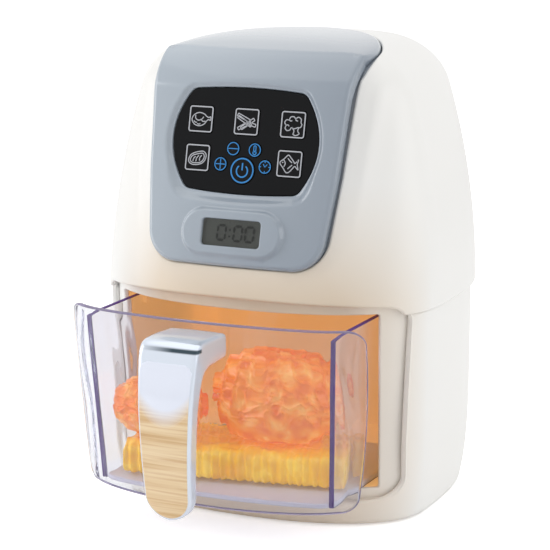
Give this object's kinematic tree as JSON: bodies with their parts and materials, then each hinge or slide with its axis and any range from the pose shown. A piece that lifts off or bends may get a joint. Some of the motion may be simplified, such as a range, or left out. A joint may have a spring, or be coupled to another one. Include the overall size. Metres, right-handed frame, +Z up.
{
  "type": "toy air fryer",
  "caption": "Toy air fryer: domed casing with a tilted control panel, push keys and timer display, and a clear pull-out drawer with a hanging handle and play food.",
  "frame": {"origin": "centre of the resting face under the base plate", "axes": "+X to the object's right seen from the front, the front faces -Y, +Z up"},
  "size_m": [0.1564, 0.2028, 0.2073],
  "materials": {
    "cream_plastic": "satin moulded cream plastic",
    "bay_plastic": "warm orange moulded plastic",
    "lamp_lens": "frosted lens",
    "circuit_board": "board lacquer",
    "panel_plastic": "glossy grey-blue moulded plastic",
    "black_plate": "glossy black plastic with printed symbols",
    "display_window": "clear window",
    "display": "grey timer display",
    "silicone": "soft silicone",
    "board_parts": "black moulded parts",
    "black_plastic": "fine matt",
    "cell_jacket": "plain dark jacket",
    "contact_steel": "plated spring steel",
    "screw_steel": "zinc plated",
    "clear_plastic": "clear plastic with a lilac tint, rippled in front",
    "handle_chrome": "bright plated plastic",
    "wood_effect": "wood-effect film that fades to bright plating at the top",
    "fries_plastic": "yellow moulded plastic",
    "chicken_plastic": "orange moulded plastic"
  },
  "bodies": {
    "casing": {"upper_casing": "cream_plastic", "lower_casing": "cream_plastic", "base_plate": "cream_plastic", "base_screws": "screw_steel", "case_screws": "screw_steel", "cavity_liner": "bay_plastic", "drawer_rails": "bay_plastic", "light_lens": "lamp_lens", "light_board": "circuit_board", "control_panel": "panel_plastic", "touch_plate": "black_plate", "lcd_lens": "display_window", "lcd_module": "display", "key_mat": "silicone", "main_board": "circuit_board", "board_parts": "board_parts", "short_screws": "screw_steel", "speaker": "board_parts", "speaker_retainer": "black_plastic", "battery_box": "black_plastic", "batteries": "cell_jacket", "battery_contacts": "contact_steel", "battery_cover": "cream_plastic", "battery_cover_screw": "screw_steel"},
    "drawer": {"drawer_basket": "clear_plastic", "handle_shell": "handle_chrome", "handle_inlay": "wood_effect", "handle_screws": "screw_steel", "food_fries": "fries_plastic", "food_chicken_right": "chicken_plastic", "food_chicken_left": "chicken_plastic"},
    "key_roast": {"key_roast": "black_plate"},
    "key_fries": {"key_fries": "black_plate"},
    "key_vegetable": {"key_vegetable": "black_plate"},
    "key_steak": {"key_steak": "black_plate"},
    "key_fish": {"key_fish": "black_plate"},
    "key_power": {"key_power": "black_plate"},
    "key_minus": {"key_minus": "black_plate"},
    "key_plus": {"key_plus": "black_plate"},
    "key_temperature": {"key_temperature": "black_plate"},
    "key_timer": {"key_timer": "black_plate"}
  },
  "joints": [
    {"name": "drawer_slide", "type": "slide", "parent": "casing", "child": "drawer", "axis": [0, -1, 0], "range_m": [-0.0302, 0.066]},
    {"name": "key_roast_press", "type": "slide", "parent": "casing", "child": "key_roast", "axis": [0, 0.9748, -0.2233], "range_m": [0, 0.0006], "stiffness_N_per_m": 800, "springref_m": -0.0005},
    {"name": "key_fries_press", "type": "slide", "parent": "casing", "child": "key_fries", "axis": [0, 0.9748, -0.2233], "range_m": [0, 0.0006], "stiffness_N_per_m": 800, "springref_m": -0.0005},
    {"name": "key_vegetable_press", "type": "slide", "parent": "casing", "child": "key_vegetable", "axis": [0, 0.9748, -0.2233], "range_m": [0, 0.0006], "stiffness_N_per_m": 800, "springref_m": -0.0005},
    {"name": "key_steak_press", "type": "slide", "parent": "casing", "child": "key_steak", "axis": [0, 0.9748, -0.2233], "range_m": [0, 0.0006], "stiffness_N_per_m": 800, "springref_m": -0.0005},
    {"name": "key_fish_press", "type": "slide", "parent": "casing", "child": "key_fish", "axis": [0, 0.9748, -0.2233], "range_m": [0, 0.0006], "stiffness_N_per_m": 800, "springref_m": -0.0005},
    {"name": "key_power_press", "type": "slide", "parent": "casing", "child": "key_power", "axis": [0, 0.9748, -0.2233], "range_m": [0, 0.0006], "stiffness_N_per_m": 800, "springref_m": -0.0005},
    {"name": "key_minus_press", "type": "slide", "parent": "casing", "child": "key_minus", "axis": [0, 0.9748, -0.2233], "range_m": [0, 0.0006], "stiffness_N_per_m": 800, "springref_m": -0.0005},
    {"name": "key_plus_press", "type": "slide", "parent": "casing", "child": "key_plus", "axis": [0, 0.9748, -0.2233], "range_m": [0, 0.0006], "stiffness_N_per_m": 800, "springref_m": -0.0005},
    {"name": "key_temperature_press", "type": "slide", "parent": "casing", "child": "key_temperature", "axis": [0, 0.9748, -0.2233], "range_m": [0, 0.0006], "stiffness_N_per_m": 800, "springref_m": -0.0005},
    {"name": "key_timer_press", "type": "slide", "parent": "casing", "child": "key_timer", "axis": [0, 0.9748, -0.2233], "range_m": [0, 0.0006], "stiffness_N_per_m": 800, "springref_m": -0.0005}
  ]
}
